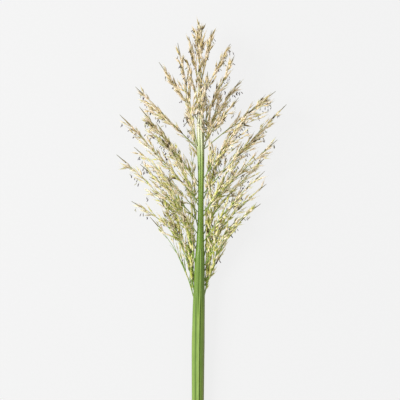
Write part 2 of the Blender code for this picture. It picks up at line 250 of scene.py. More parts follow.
# The twigs: where they leave as shares of the branch, their lengths, and their angles in radians
LAST_TWIG = 0.82
LAST_LEADER_TWIG = 0.68
EXTRA_LEAST = 6.0
EXTRA_SHARE = 0.32  # of the branch that is left
EXTRA_ANGLE = (0.10, 0.36)
PEAK_SPREAD = 0.2
LEADER_SPREAD = 0.42
LONG_TWIGS = (16, 17, 19, 39, 40)  # sprays with long twigs beside the branch
LONG_COUNT = 4
LONG_EXTRA = 1.35  # times as many twigs on such a spray
LONG_PLACES = (0.08, 0.40)
LONG_SHARE = (0.42, 0.55)  # of the branch
LONG_ANGLE = (0.16, 0.34)
INNER_PLACES = (0.03, 0.38)
INNER_LENGTH = (8.0, 19.0)
INNER_ANGLE = (0.25, 0.75)
TIGHT_ANGLE = (0.08, 0.30)
STEM_PLACES = (0.03, 0.22)
STEM_CLIMB = (12.0, 36.0)
STEM_APART = (2.5, 10.0)
STEM_CLOSE = (1.6, 6.0)
FRONT_PLACES = (0.03, 0.30)
FRONT_CLIMB = (9.0, 26.0)
FRONT_APART = (1.3, 4.0)
TWIG_ROOM = 0.9  # between a twig's end and the surface
TWIG_THREAD = (0.26, 0.12)  # radius at the root and the tip

# The spikelets, each of an inner and an outer husk, and the anthers
HUSK_LENGTH = (6.4, 8.8)
FOREMOST_LENGTH = (6.0, 7.6)  # at the end of a branch or twig
HUSK_WIDTH = (1.4, 1.95)  # of one of the usual length
HUSK_USUAL = 7.5
HUSK_ANGLE = (0.06, 0.30)
HUSK_GAPE = (0.08, 0.28)
HUSK_ROOM = 0.8  # between a husk's end and the surface
INNER_HUSK = ((0.06, 0.42), (0.30, 1.0), (0.62, 0.72), (0.88, 0.22))  # share along it, share of its girth
OUTER_HUSK = ((0.08, 0.5), (0.42, 1.0), (0.80, 0.45))
FILAMENT_LENGTH = (1.5, 5.2)
FILAMENT_RADIUS = 0.08
ANTHER_LENGTH = (2.6, 3.5)
ANTHER_GIRTH = (1.1, 0.85)
ANTHER_PROFILE = ((0.1, 0.75), (0.5, 0.85), (0.9, 0.75))
THIN_SPRAY = 1  # the lowest one on the left, which carries few
BARE_SPRAY = 40  # an upper one on the right, bare to near its middle
HAIR_LENGTH = 7.0  # the bare hair at a branch's tip
HAIR_RADIUS = (0.62, 0.20)
BRANCH_THREAD = (0.55, 0.14)  # radius at the root and the tip
ANTHER_SHARE = ((115.0, 0.03), (200.0, 0.09), (346.0, 0.09))  # of the spikelets carry two hanging anthers
DARK_SHARE = 0.04  # of the spikelets have withered brown
SLIM_FROM = 0.84  # the share of a branch beyond which its spikelets are slim and olive
OLIVE_SHARE = 0.36  # of them are darker and greener than the rest

# The picture
PICTURE_MIDDLE = 212.0  # how far up the stem its middle lies
PICTURE_WIDTH = 400.0
CAMERA_HEIGHT = 2000.0
WORLD_STRENGTH = 0.6
FILL_POWER = 3.0
KEY_POWER = 39.0
FLOOR_GLOW = 0.815
WIDTH_LEVEL = 20.0  # the height at which the picture is that wide
KEY_PLACE = (-1.5, 0.3, 1.15)  # metres from the picture's middle
KEY_SIZE = 1.0
FILL_PLACE = (1.6, -0.5, 1.1)
FILL_SIZE = 1.4


def unit(vector):
    """The vector or vectors at length one."""
    return vector / np.linalg.norm(vector, axis=-1, keepdims=True)


def smooth(place, knots):
    """A smooth line through (place, value, ...) knots: cubic pieces whose slopes come from the neighbours."""
    knots = np.array(knots, float)
    places, values = knots[:, 0], knots[:, 1:]
    slopes = np.gradient(values, places, axis=0)
    place = np.clip(np.asarray(place, float), places[0], places[-1])
    left = np.clip(np.searchsorted(places, place, side="right") - 1, 0, len(places) - 2)
    span = (places[left + 1] - places[left])[..., None]
    s = (place - places[left])[..., None] / span
    return (
        (1 + 2 * s) * (1 - s) ** 2 * values[left]
        + s * (1 - s) ** 2 * span * slopes[left]
        + s * s * (3 - 2 * s) * values[left + 1]
        - s * s * (1 - s) * span * slopes[left + 1]
    )


def stem_point(place):
    """The point of the stem's middle line at this distance from the cut end."""
    side = smooth(place, STEM_LINE)
    return np.stack([side[..., 0], np.asarray(place, float) + 0 * side[..., 0], side[..., 1]], -1)


def stem_direction(place):
    """Which way the stem runs there."""
    return unit(stem_point(np.asarray(place) + 1.0) - stem_point(np.asarray(place) - 1.0))


def culm_radius(place):
    """The culm's radius at this distance from the cut end."""
    return smooth(place, CULM_GIRTH)[..., 0]


def sheath_top(angle):
    """How far up the sheath reaches at this angle round the stem: a long tongue above, cut back beneath."""
    return MOUTH_BACK + (MOUTH_FRONT - MOUTH_BACK) * ((1 + np.sin(angle)) / 2) ** MOUTH_POWER


def sheath_inside(place):
    """The radius inside the sheath."""
    return culm_radius(place) + GAP


def frame_at(direction):
    """Two unit vectors square to a direction: one level, one towards the top."""
    level = unit(np.cross(direction, (0.0, 0.0, 1.0)))
    return level, np.cross(level, direction)


def curve_of(root, tip, along, share, lift):
    """Points of a branch: a chord bowed towards the way the stem runs, its middle lifted."""
    chord = tip - root
    bow = unit(along - unit(chord) * (along @ unit(chord)))
    aside = np.linalg.norm(chord - along * (chord @ along))
    t = np.linspace(0, 1, BRANCH_SEGMENTS + 1)[:, None]
    return root + chord * t + (bow * share * aside + np.array([0.0, 0.0, lift])) * 4 * t * (1 - t)


def on_curve(points, t):
    """The point and the direction at share t of a curve's length."""
    where = t * (len(points) - 1)
    left = min(int(where), len(points) - 2)
    step = points[left + 1] - points[left]
    return points[left] + step * (where - left), unit(step)


def turned(direction, angle, turn):
    """A direction that leaves another one by angle, turned round it."""
    level, top = frame_at(direction)
    return math.cos(angle) * direction + math.sin(angle) * (math.cos(turn) * level + math.sin(turn) * top)


def above_surface(start, direction, length, radius):
    """The direction, raised where a thing of this length and radius would end below the surface."""
    lowest = (radius - start[2]) / length
    if direction[2] >= lowest:
        return direction
    flat = unit(np.array([direction[0], direction[1], 0.0]))
    lowest = min(lowest, 0.7)
    return flat * math.sqrt(1 - lowest * lowest) + np.array([0.0, 0.0, lowest])


class Room:
    """The rods that are already in place, each with its owner, and the stem."""

    def __init__(self):
        self.starts, self.ends, self.radii, self.owners = [], [], [], []

    def take(self, start, end, radius, owner):
        """Keeps a rod."""
        self.starts.append(start)
        self.ends.append(end)
        self.radii.append(radius)
        self.owners.append(owner)

    def off_stem(self, start, end, radius):
        """True if a rod is clear of the culm and its sheath."""
        points = start + (end - start) * np.linspace(0, 1, 7)[:, None]
        offset = points - stem_point(points[:, 1])
        away = np.hypot(offset[:, 0], offset[:, 2])
        sheathed = points[:, 1] < sheath_top(np.arctan2(offset[:, 2], offset[:, 0])) + radius + GAP
        wall = np.where(sheathed, GAP + SHEATH_WALL + KEEL_RISE, 0.0)
        beyond = points[:, 1] > CULM_LENGTH + radius
        return bool((beyond | (away > culm_radius(points[:, 1]) + wall + radius + GAP)).all())

    def spare(self, start, end, radius, owner):
        """How far a rod is past the gap from the nearest rod of another owner: two segments, all at once."""
        others = np.array(self.owners) != owner
        if not others.any():
            return math.inf
        p, q = np.array(self.starts)[others], np.array(self.ends)[others]
        reach = np.array(self.radii)[others] + radius + GAP
        mine, theirs, between = end - start, q - p, start - p
        a, e = mine @ mine, (theirs * theirs).sum(1)
        b, c, f = theirs @ mine, between @ mine, (theirs * between).sum(1)
        s = np.clip((b * f - c * e) / np.maximum(a * e - b * b, 1e-9), 0, 1)
        t = np.clip((b * s + f) / e, 0, 1)
        s = np.clip((b * t - c) / a, 0, 1)
        apart = between + s[:, None] * mine - t[:, None] * theirs
        return (np.linalg.norm(apart, axis=1) - reach).min()


def rods_of(line):
    """The rods along a branch, each with its radius. The last one is as thick as the spikelet at the tip."""
    radii = [BRANCH_RADIUS[0]] * (len(line) - 2) + [SPIKELET_RADIUS]
    return list(zip(line[:-1], line[1:], radii))


def branch_lines(room):
    """The middle line of every branch, and last the leader that carries the stem on to its tip."""
    lines = []
    for owner, (place, across, along, height) in enumerate(BRANCHES):
        middle, direction = stem_point(place), stem_direction(place)
        tip = np.array([across, along, height])
        outward = tip - middle
        outward = unit(outward - direction * (outward @ direction))
        root = middle + outward * (culm_radius(place) + GAP)
        share = smooth(place, BRANCH_BOW)[0]
        most, line = -math.inf, None
        for lift in BRANCH_LIFTS:
            trial = curve_of(root, tip, direction, share, lift)
            first = trial[0] + unit(trial[1] - trial[0]) * BRANCH_START
            spare = min(room.spare(*rod, owner) for rod in rods_of(trial))
            above = trial[1:-1, 2].min() > BRANCH_RADIUS[0]
            if not (above and room.off_stem(first, trial[1], BRANCH_RADIUS[0])):
                spare = -1e6
            if spare > most:
                most, line = spare, trial
            if most > 0:
                break
        for rod in rods_of(line):
            room.take(*rod, owner)
        lines.append(line)
    lines.append(stem_point(np.linspace(LEADER_ROOT, LEADER_TIP, BRANCH_SEGMENTS + 1)))
    for rod in rods_of(lines[-1]):
        room.take(*rod, len(BRANCHES))
    return lines


def plan_sprays():
    """Every spray as its branch line and its twigs, none of them in another spray's way."""
    draw, room = np.random.default_rng(SEED), Room()
    lines = branch_lines(room)
    sprays = [{"line": line, "twigs": []} for line in lines]

    def place(owner, start, carrier, length, angles, turn, radius):
        """The end of a twig that is clear at one of a few turns, or None."""
        angle = draw.uniform(*angles)
        for attempt in range(TRIES):
            direction = turned(carrier, angle, turn + attempt * TURN)
            direction = above_surface(start, direction, length, radius)
            end = start + direction * length
            near = start + direction * radius
            if room.off_stem(near, end, radius) and room.spare(near, end, radius, owner) > 0:
                room.take(near, end, radius, owner)
                return end
        return None

    for owner, spray in enumerate(sprays):
        length = np.linalg.norm(np.diff(spray["line"], axis=0), axis=1).sum()
        count = max(3, round(length * (TWIG_LAST - TWIG_FIRST) / TWIG_SPACING))
        turn = draw.uniform(0, 2 * math.pi)
        for k in range(count):
            t = TWIG_FIRST + (TWIG_LAST - TWIG_FIRST) * (k + draw.uniform(0.2, 0.8)) / count
            start, carrier = on_curve(spray["line"], t)
            reach = TWIG_LEAST + TWIG_SHARE * (1 - t) * length * draw.uniform(0.8, 1.15)
            end = place(owner, start, carrier, reach, TWIG_ANGLE, turn + k * TURN, SPIKELET_RADIUS)
            if end is not None:
                spray["twigs"].append((start, end))
    return sprays


def linear(code):
    """An sRGB hex colour as linear red, green, blue and alpha."""
    part = np.array([int(code[i : i + 2], 16) for i in (0, 2, 4)]) / 255
    part = np.where(part <= 0.04045, part / 12.92, ((part + 0.055) / 1.055) ** 2.4)
    return (*[float(p) for p in part], 1.0)


def add(tree, kind, inputs=None, stops=None, **settings):
    """Adds a node with its settings, its input values or links, and the stops of a colour ramp."""
    made = tree.nodes.new(kind)
    for name, value in settings.items():
        setattr(made, name, value)
    for socket, value in (inputs or {}).items():
        if isinstance(value, bpy.types.NodeSocket):
            tree.links.new(value, made.inputs[socket])
        else:
            made.inputs[socket].default_value = value
    for number, (place, code) in enumerate(stops or ()):
        points = made.color_ramp.elements
        point = points[number] if number < len(points) else points.new(place)
        point.position = place
        point.color = linear(code)
    return made


def new_material(name, **values):
    """A material with one Principled shader, whose plain values are set on its own sockets."""
    made = bpy.data.materials.new(name)
    made.use_nodes = True
    shader = made.node_tree.nodes["Principled BSDF"]
    for socket, value in values.items():
        shader.inputs[socket.replace("_", " ")].default_value = value
    return made, made.node_tree, shader


def streaks(tree, across, along, detail=3.0, offset=0.0):
    """Noise drawn out along the stem: one grain is this many millimetres across and along."""
    place = add(tree, "ShaderNodeTexCoord").outputs["Object"]
    size = (1 / (across * MM), 1 / (along * MM), 1 / (across * MM))
    mapped = add(tree, "ShaderNodeMapping", {"Vector": place, "Scale": size, "Location": (offset,) * 3})
    return add(
        tree,
        "ShaderNodeTexNoise",
        {"Vector": mapped.outputs["Vector"], "Scale": 1.0, "Detail": detail, "Roughness": 0.55},
    ).outputs["Fac"]


def share_frames(axis):
    """For each direction two unit vectors square to it, side and top, so that side x top = axis."""
    reference = np.where(np.abs(axis[..., 2:3]) > 0.9, [1.0, 0.0, 0.0], [0.0, 0.0, 1.0])
    side = unit(np.cross(reference, axis))
    return side, np.cross(axis, side)


def closed_faces(rings, sides):
    """Faces of one closed body of rings with a foot and a tip: quads between rings, fans at both ends."""
    low = np.arange(rings - 1)[:, None] * sides + np.arange(sides)
    after = np.arange(rings - 1)[:, None] * sides + (np.arange(sides) + 1) % sides
    quads = np.stack([low, after, after + sides, low + sides], -1).reshape(-1, 4)
    foot, tip, last = rings * sides, rings * sides + 1, (rings - 1) * sides
    i, j = np.arange(sides), (np.arange(sides) + 1) % sides
    fans = np.vstack([np.stack([j, i, i * 0 + foot], -1), np.stack([last + i, last + j, i * 0 + tip], -1)])
    return quads, fans


class Skin:
    """Gathers closed bodies, each an array of points, and makes one mesh of them."""

    def __init__(self):
        self.points, self.tones, self.edges, self.slots, self.quads, self.fans = [], [], [], [], [], []
        self.count = 0

    def take(self, rings, foot, tip, tone, slot, edge):
        """Keeps n bodies: rings is n x rings x sides x 3, foot and tip are n x 3, and tone is n x rings."""
        n, k, m = rings.shape[:3]
        body = np.concatenate([rings.reshape(n, k * m, 3), foot[:, None], tip[:, None]], 1)
        shade = np.concatenate([np.repeat(tone, m, 1), tone[:, :1], tone[:, -1:]], 1)
        dark = np.broadcast_to(edge, (n, k, m)).reshape(n, k * m)
        dark = np.concatenate([dark, np.full((n, 2), 0.5) * dark.max(1, keepdims=True)], 1)
        body[..., 2] += np.maximum(0.12 - ORIGIN[2] - body[..., 2].min(1), 0)[:, None]
        quads, fans = closed_faces(k, m)
        shift = self.count + np.arange(n)[:, None, None] * (k * m + 2)
        self.quads.append((quads + shift).reshape(-1, 4))
        self.fans.append((fans + shift).reshape(-1, 3))
        self.slots.append((slot, n * len(quads), n * len(fans)))
        self.points.append(body.reshape(-1, 3))
        self.tones.append(shade.ravel())
        self.edges.append(dark.ravel())
        self.count += n * (k * m + 2)

    def make(self, name, materials):
        """The object, in metres in the row frame, with the tone and the edges kept as point attributes."""
        quads, fans = np.concatenate(self.quads), np.concatenate(self.fans)
        slots = [np.full(q, s) for s, q, f in self.slots] + [np.full(f, s) for s, q, f in self.slots]
        return make_mesh(name, np.concatenate(self.points), quads, fans, np.concatenate(slots), materials,
                         {"tone": np.concatenate(self.tones), "edge": np.concatenate(self.edges)})


def make_mesh(name, points, quads, fans, slots, materials, attributes):
    """A smooth-shaded object from points in plant millimetres, four-sided and three-sided faces."""
    mesh = bpy.data.meshes.new(name)
    mesh.vertices.add(len(points))
    mesh.vertices.foreach_set("co", ((points + ORIGIN) * MM).astype(np.float32).ravel())
    corners = np.concatenate([quads.ravel(), fans.ravel()]).astype(np.int32)
    starts = np.concatenate([np.arange(len(quads)) * 4, quads.size + np.arange(len(fans)) * 3])
    mesh.loops.add(len(corners))
    mesh.loops.foreach_set("vertex_index", corners)
    mesh.polygons.add(len(starts))
    mesh.polygons.foreach_set("loop_start", starts.astype(np.int32))
    mesh.polygons.foreach_set("material_index", np.asarray(slots, np.int32))
    mesh.update(calc_edges=True)
    mesh.polygons.foreach_set("use_smooth", np.ones(len(starts), bool))
    for key, values in attributes.items():
        mesh.attributes.new(key, "FLOAT", "POINT").data.foreach_set("value", values.astype(np.float32))
    for material in materials:
        mesh.materials.append(material)
    made = bpy.data.objects.new(name, mesh)
    bpy.context.scene.collection.objects.link(made)
    return made


def spindles(
    skin, start, axis, roll, length, width, depth, curl, reach, profile, sides, tone, slot, edge=0.0
):
    """Closed slender bodies, n at once: an ellipse that follows a profile of (share, radius share) rings.

    At share u the middle is start + axis * length * u + top * curl * length * u squared, and the ellipse is
    width across and depth high, times the profile's radius. The tip lies at share reach.
    """
    side, top = share_frames(axis)
    c, s = np.cos(roll)[:, None], np.sin(roll)[:, None]
    side, top = c * side + s * top, c * top - s * side
    u, radius = np.array(profile).T
    angle = np.arange(sides) * 2 * math.pi / sides

    def middle(share):
        share = np.asarray(share)
        straight = axis[:, None] * (length[:, None] * share)[..., None]
        bent = top[:, None] * (curl[:, None] * length[:, None] * share**2)[..., None]
        return start[:, None] + straight + bent

    round_side = side[:, None, None] * (np.cos(angle) * 0.5)[None, None, :, None] * width[:, None, None, None]
    round_top = top[:, None, None] * (np.sin(angle) * 0.5)[None, None, :, None] * depth[:, None, None, None]
    rings = middle(u[None])[:, :, None] + radius[None, :, None, None] * (round_side + round_top)
    tip = middle(reach[:, None])[:, 0]
    skin.take(rings, start, tip, np.broadcast_to(tone, (len(start), len(u))), slot, edge)


def threads(skin, start, end, bow, radius, stations, sides, tone, slot):
    """Round tapering threads, n at once, on parabolas: start + (end - start) t + bow * 4 t (1 - t)."""
    t = np.linspace(0, 1, stations)[None, :, None]
    path = start[:, None] + (end - start)[:, None] * t + bow[:, None] * 4 * t * (1 - t)
    side, top = share_frames(unit((end - start)[:, None] + bow[:, None] * 4 * (1 - 2 * t)))
    angle = np.arange(sides)[None, None, :, None] * 2 * math.pi / sides
    girth = (radius[:, :1] + (radius[:, 1:] - radius[:, :1]) * t[..., 0])[..., None, None]
    rings = path[:, :, None] + girth * (np.cos(angle) * side[:, :, None] + np.sin(angle) * top[:, :, None])
    skin.take(rings, path[:, 0], path[:, -1], np.broadcast_to(tone, (len(start), stations)), slot, 0.0)


def on_parabola(start, end, bow, t):
    """The points and unit directions at share t of parabolas, all arrays of one length."""
    t = t[:, None]
    point = start + (end - start) * t + bow * 4 * t * (1 - t)
    return point, unit((end - start) + bow * 4 * (1 - 2 * t))


def leaving(axis, angle, turn):
    """Directions that leave others by an angle, turned round them."""
    side, top = share_frames(axis)
    aside = np.cos(turn)[:, None] * side + np.sin(turn)[:, None] * top
    return np.cos(angle)[:, None] * axis + np.sin(angle)[:, None] * aside


def leaving_towards(axis, angle, aside):
    """Directions that leave others by an angle, towards a side that need not be square to them."""
    aside = unit(aside - axis * (aside * axis).sum(1)[:, None])
    return np.cos(angle)[:, None] * axis + np.sin(angle)[:, None] * aside


def clear_of_stem(points, room):
    """Which points stay this far outside the stalk and its sheath."""
    offset = points - stem_point(points[:, 1])
    away = np.hypot(offset[:, 0], offset[:, 2])
    sheathed = points[:, 1] < sheath_top(np.arctan2(offset[:, 2], offset[:, 0])) + room
    wall = np.where(sheathed, GAP + SHEATH_WALL + KEEL_RISE, 0.0)
    return (away > culm_radius(points[:, 1]) + wall + room) | (points[:, 1] > CULM_LENGTH + room)


# The pieces' own shapes


def bell(angle, middle, width):
    """One at the middle angle and falling off to both sides: exp(-(turn / width) squared)."""
    return np.exp(-((np.angle(np.exp(1j * (angle - middle))) / width) ** 2))


def make_stalk(materials):
    """The stalk: rings along the stem's middle line, round below and ridged above.

    Radius = the culm's radius + ridge depth * (1 - 2 ((1 - cos(7 (angle - turn))) / 2) squared) + fine ribs,
    so the ridges are wide and the grooves narrow. They grow from nothing at the sheath to their full depth.
    """
    place = np.concatenate([[0.0, 0.25], np.linspace(0.8, CULM_LENGTH, STALK_RINGS), [CULM_LENGTH + 0.3]])
    angle = math.pi - np.arange(STALK_SIDES) * 2 * math.pi / STALK_SIDES
    deep = np.clip((place - 196) / 60, 0, 1)[:, None]
    deep = deep * deep * (3 - 2 * deep) * RIDGE_DEPTH
    wide = 1 - ((1 - np.cos(STALK_RIDGES * (angle - RIDGE_TURN))) / 2) ** 2
    ridge = deep * (2 * wide - 1) * culm_radius(place)[:, None]
    fine = 0.035 * np.cos(STALK_SIDES / 4 * angle) * np.clip((CULM_LENGTH - place) / 60, 0, 1)[:, None]
    radius = culm_radius(place)[:, None] + ridge + fine - 0.05
    radius[0] *= 0.965
    radius[-1] *= 0.6
    middle, direction = stem_point(place), stem_direction(place)
    level, top = frame_at(direction)
    out = np.cos(angle)[None, :, None] * level[:, None] + np.sin(angle)[None, :, None] * top[:, None]
    points = (middle[:, None] + out * radius[..., None]).reshape(-1, 3)
    quads, fans = closed_faces(len(place), STALK_SIDES)
    points = np.vstack([points, middle[0], middle[-1]])
    slots = np.concatenate([np.zeros(len(quads)), np.ones(STALK_SIDES), np.zeros(STALK_SIDES)])
    up = np.concatenate([np.repeat(place, STALK_SIDES), [0.0, CULM_LENGTH]]) / CULM_LENGTH
    grown = deep / RIDGE_DEPTH
    # Painted shade: the right side, away from the key light, goes towards olive brown, more where the ridges
    # have grown
    side_shade_and_brown = bell(angle, SHADED_SIDE, SHADED_WIDTH) * (0.45 + 0.55 * grown)
    side_shade_and_brown = np.concatenate([side_shade_and_brown.ravel(), [0.0, 0.0]])
    # Painted light and shade: lighter on the ridges, darker in the grooves
    relief_light_and_shade = np.concatenate([(0.4 * (1 - grown) + grown * wide).ravel(), [0.0, 0.0]])
    return make_mesh("stalk", points, quads, fans, slots, materials,
                     {"up": up, "relief_light_and_shade": relief_light_and_shade, "side_shade_and_brown": side_shade_and_brown})


def make_leaf_sheath(materials):
    """The sheath: an outer and an inner skin round the stalk, joined at both ends.

    Outer radius = inside + wall + a keel with a crease at one side of it + veins, which are a sum of cosines
    of the angle. The wall thins to a papery rim at the slanting mouth.
    """
    angle = math.pi - np.arange(SHEATH_ROUND) * 2 * math.pi / SHEATH_ROUND
    share = np.linspace(0, 1, SHEATH_RINGS)[:, None] ** 0.9
    place = share * sheath_top(angle)[None]
    to_rim = sheath_top(angle)[None] - place
    bend = np.angle(np.exp(1j * (angle - KEEL_ANGLE)))[None]
    low_down = np.clip((KEEL_END - place) / KEEL_FADE, 0, 1)
    keel = KEEL_RISE * np.exp(-np.abs(bend / np.where(bend > 0, *KEEL_SPREAD)) ** 1.5) * low_down
    crease = np.exp(-(((bend + CREASE_TURN) / CREASE_WIDTH) ** 2)) * low_down
    veins = sum(size * np.cos(count * angle + phase) for count, size, phase in SHEATH_VEINS)[None]
    wall = SHEATH_RIM + (SHEATH_WALL - SHEATH_RIM) * np.clip(to_rim / RIM_TAPER, 0, 1)
    inside = sheath_inside(place.ravel()).reshape(place.shape)
    outer = inside + wall + keel - CREASE_DEPTH * crease + VEIN_DEPTH * veins * np.clip(to_rim / 8, 0, 1)
    middle, direction = stem_point(place.ravel()), stem_direction(place.ravel())
    level, top = frame_at(direction)
    turn = np.broadcast_to(angle, place.shape).ravel()[:, None]
    out = np.cos(turn) * level + np.sin(turn) * top
    skins = [middle + out * outer.ravel()[:, None], middle + out * (inside + 0.02).ravel()[:, None]]
    skins[0][:, 2] = np.maximum(skins[0][:, 2], 0.0 - ORIGIN[2])
    n = SHEATH_RINGS * SHEATH_ROUND
    low = np.arange(SHEATH_RINGS - 1)[:, None] * SHEATH_ROUND + np.arange(SHEATH_ROUND)
    after = np.arange(SHEATH_RINGS - 1)[:, None] * SHEATH_ROUND + (np.arange(SHEATH_ROUND) + 1) % SHEATH_ROUND
    outside = np.stack([low, after, after + SHEATH_ROUND, low + SHEATH_ROUND], -1).reshape(-1, 4)
    within = outside[:, ::-1] + n
    i, j = np.arange(SHEATH_ROUND), (np.arange(SHEATH_ROUND) + 1) % SHEATH_ROUND
    last = n - SHEATH_ROUND
    cut = np.stack([j, i, n + i, n + j], -1)
    rim = np.stack([last + i, last + j, n + last + j, n + last + i], -1)
    quads = np.vstack([outside, within, cut, rim])
    none = np.zeros((0, 3), int)
    margin = np.tile(to_rim.ravel(), 2)
    painted_bands = sum(size * bell(angle, math.radians(at), math.radians(wide)) for at, wide, size in SHEATH_LIGHT_AND_SHADE)
    fine = bell(angle, math.radians(80), math.radians(45)) * np.cos(RIB_COUNT * angle)
    ribs = 0.3 * veins + (1 - low_down) * (0.4 * veins + 0.6 * fine[None] - 0.3)
    # Painted light and shade: the lit bands and the keel lighter, the crease at the keel's right and the
    # shaded band darker, as light from the left falls; the ribs lighter and darker besides
    relief_light_and_shade = painted_bands[None] * (0.25 + 0.75 * low_down) + 0.2 * keel / KEEL_RISE - 1.4 * crease + ribs
    relief_light_and_shade = np.tile(np.broadcast_to(relief_light_and_shade, place.shape).ravel(), 2)
    # Painted shade on the right side, away from the key light, and a browned strip at the left edge low down
    side_shade_and_brown = bell(angle, SHADED_SIDE, SHADED_WIDTH) + 0.55 * low_down * bell(angle, math.pi - 0.2, 0.2)
    side_shade_and_brown = np.tile(np.broadcast_to(side_shade_and_brown, place.shape).ravel(), 2)
    return make_mesh("leaf_sheath_skin", np.vstack(skins), quads, none, np.zeros(len(quads)), materials,
                     {"margin": margin, "relief_light_and_shade": relief_light_and_shade, "side_shade_and_brown": side_shade_and_brown})


def bare_share(number, place):
    """The share of a branch that has no spikelets: little low down and near the tip, more in between."""
    if number == BARE_SPRAY:
        return 0.40
    return 0.05 + 0.10 * math.exp(-(((place - 215.0) / 45.0) ** 2))


def freshness(points):
    """How green the husks still are: most at the roots of the lowest branches, less outwards and upwards."""
    away = np.hypot(points[:, 0] * 1.3, (points[:, 1] - 115.0) * 0.8)
    return np.clip(1 - away / 150.0, 0, 1)


def along_stem(place, knots):
    """One value at this distance from the cut end, between the two nearest knots."""
    places, values = np.array(knots).T
    return float(np.interp(place, places, values))


def lower_side(axis, place):
    """The side of a branch that looks back down the stem, and the sine of the branch's angle to the stem."""
    along = stem_direction(place)
    back = axis * (axis @ along)[..., None] - along
    lean = np.linalg.norm(back, axis=-1)
    return back / np.maximum(lean, 1e-6)[..., None], lean


def along_branch(root, tip, bow, t):
    """The points and unit directions at several shares of one branch."""
    return on_parabola(*[np.repeat(v[None], len(t), 0) for v in (root, tip, bow)], t)


def kept_above(direction, start, reach, room):
    """Unit directions, raised where a thing of this reach would end nearer the surface than room."""
    direction[:, 2] = np.maximum(direction[:, 2], (room - ORIGIN[2] - start[:, 2]) / reach)
    return unit(direction)


def extra_twigs(number, root, tip, bow, length, draw):
    """Twigs beside those of the plan, most on the lower side, which curve away at their ends."""
    more = LONG_EXTRA if number in LONG_TWIGS else 1.0
    count = 2 + int(length * along_stem(root[1], EXTRA_TWIGS) * more)
    first = 0.04 + 0.8 * bare_share(number, root[1])
    t = np.sort(draw.uniform(first, LAST_TWIG if root[1] < LEADER_ROOTS else LAST_LEADER_TWIG, count))
    long = np.zeros(count)
    if number in LONG_TWIGS:
        t[:LONG_COUNT], long[:LONG_COUNT] = draw.uniform(*LONG_PLACES, LONG_COUNT), 1.0
    start, axis = along_branch(root, tip, bow, t)
    lower, lean = lower_side(axis, root[1])
    share = LOWER_TWIGS if root[1] > LOW_ROOTS else LOWER_TWIGS_LOW
    towards = np.where(draw.random(count) < share, 1.0, -0.5)
    towards = np.where(long > 0, 1.0, towards)
    aside = lower * towards[:, None] * np.clip(lean * 2.2, 0.3, 1)[:, None]
    aside = aside + np.cross(axis, lower) * draw.normal(0, 0.45, count)[:, None]
    across, upward = np.array([1.0, 0.0, 0.0]), np.array([0.0, 0.0, 1.0])
    widest = EXTRA_ANGLE[1]
    if root[1] > LEADER_ROOTS:
        widest = LEADER_SPREAD
        turn = draw.uniform(0, 2 * math.pi, (count, 1))
        aside = (np.cos(turn) + 0.4) * across + np.sin(turn) * upward
    elif root[1] > PEAK_ROOTS and abs(tip[0]) < INNER_TIPS:
        widest = PEAK_SPREAD
        lift = draw.uniform(0.0, 1.0, (count, 1)) * upward
        aside = aside * draw.uniform(0.5, 1.0, (count, 1)) + lift
    elif root[1] > CROWN_ROOTS and abs(tip[0]) < INNER_TIPS:
        inward = np.column_stack([-np.sign(start[:, 0]), np.zeros(count), np.zeros(count)])
        aside = aside * 0.6 + draw.uniform(-0.3, 1.2, (count, 1)) * inward
        aside = aside + draw.uniform(-0.2, 1.0, (count, 1)) * upward
    reach = (EXTRA_LEAST + EXTRA_SHARE * (1 - t) * length) * draw.uniform(0.7, 1.2, count)
    reach = np.where(long > 0, length * draw.uniform(*LONG_SHARE, count), reach)
    angle = draw.uniform(*LONG_ANGLE, count)
    angle = np.where(long > 0, angle, draw.uniform(EXTRA_ANGLE[0], widest, count))
    direction = kept_above(leaving_towards(axis, angle, aside), start, reach, TWIG_ROOM)
    away = unit(aside - axis * (aside * axis).sum(1)[:, None])
    flare = away * (reach * draw.uniform(0.0, 0.07, count))[:, None]
    return start, start + direction * reach[:, None], -flare


def inner_twigs(root, tip, bow, draw):
    """Short twigs near a branch's root, which fill the space between it and the stem."""
    count = int(along_stem(root[1], INNER_TWIGS))
    start, axis = along_branch(root, tip, bow, draw.uniform(*INNER_PLACES, count))
    lower, lean = lower_side(axis, root[1])
    tight = root[1] <= TIGHT_ROOTS
    towards = np.where(draw.random(count) < (0.15 if tight else 0.55), 1.0, -1.0)[:, None]
    aside = lower * towards + np.cross(axis, lower) * draw.normal(0, 0.7, count)[:, None]
    angle = draw.uniform(*(TIGHT_ANGLE if tight else INNER_ANGLE), count)
    reach = draw.uniform(*INNER_LENGTH, count)
    direction = kept_above(leaving_towards(axis, angle, aside), start, reach, TWIG_ROOM)
    return start, start + direction * reach[:, None], -unit(aside) * reach[:, None] * 0.04


def stem_twigs(root, tip, bow, draw):
    """Twigs that leave a branch near its root and climb beside the stem, most of them low or at its right."""
    low = root[1] < CLOSE_ROOTS
    count = int(along_stem(root[1], STEM_TWIGS) * (0.3 if tip[0] < 0 and not low else 0.9))
    start = along_branch(root, tip, bow, draw.uniform(*STEM_PLACES, count))[0]
    along = start[:, 1] + draw.uniform(*STEM_CLIMB, count)
    end = stem_point(along)
    apart = culm_radius(along) + draw.uniform(*(STEM_CLOSE if low else STEM_APART), count)
    end[:, 0] += np.sign(tip[0]) * apart
    end[:, 2] += draw.uniform(-6.5, 1.0 if low else 6.0, count)
    return start, end, np.tile([0.0, 0.0, 0.6], (count, 1))


def front_twigs(root, tip, bow, draw):
    """Twigs that leave a branch near its root and lean over the front of the stalk."""
    start = along_branch(root, tip, bow, draw.uniform(*FRONT_PLACES, FRONT_TWIGS))[0]
    along = start[:, 1] + draw.uniform(*FRONT_CLIMB, FRONT_TWIGS)
    along = np.maximum(along, FRONT_FROM + draw.uniform(0, 8, FRONT_TWIGS))
    end = stem_point(along)
    end[:, 0] += draw.uniform(-3.5, 3.5, FRONT_TWIGS)
    end[:, 2] += culm_radius(along) + draw.uniform(*FRONT_APART, FRONT_TWIGS)
    return start, end, np.tile([0.0, 0.0, 1.6], (FRONT_TWIGS, 1))


